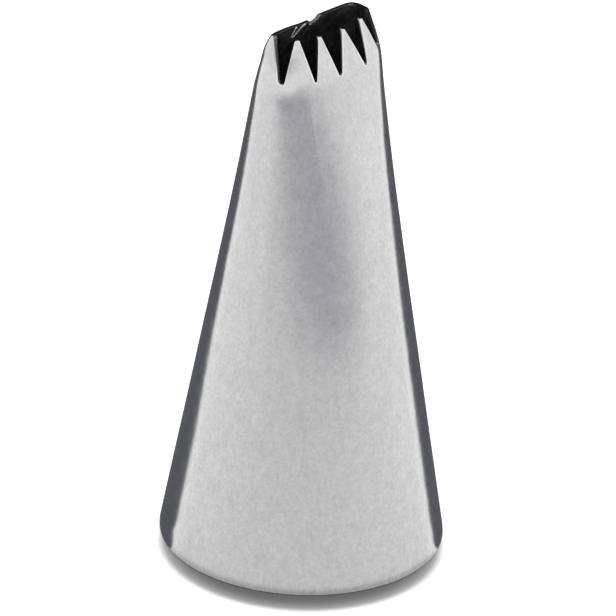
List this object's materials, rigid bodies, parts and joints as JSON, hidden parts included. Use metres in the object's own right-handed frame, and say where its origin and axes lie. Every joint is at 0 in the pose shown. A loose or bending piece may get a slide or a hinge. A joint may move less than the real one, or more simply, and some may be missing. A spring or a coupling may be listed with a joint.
{
  "type": "piping nozzle",
  "caption": "Small steel piping nozzle: a conical tube pressed to a flat, slightly curved mouth with a toothed front lip and a smooth back lip.",
  "frame": {"origin": "centre of the wide base rim, on the surface it stands on", "axes": "+Z from the base to the mouth, X along the long side of the mouth, the toothed lip faces -Y and the smooth seamed lip faces +Y"},
  "size_m": [0.018, 0.018, 0.0355],
  "materials": {
    "steel_sheet": "satin, fine grain",
    "weld_bead": "dull weld, slightly rippled"
  },
  "bodies": {
    "root": {"nozzle_body": "steel_sheet", "seam_weld": "weld_bead"}
  },
  "joints": []
}
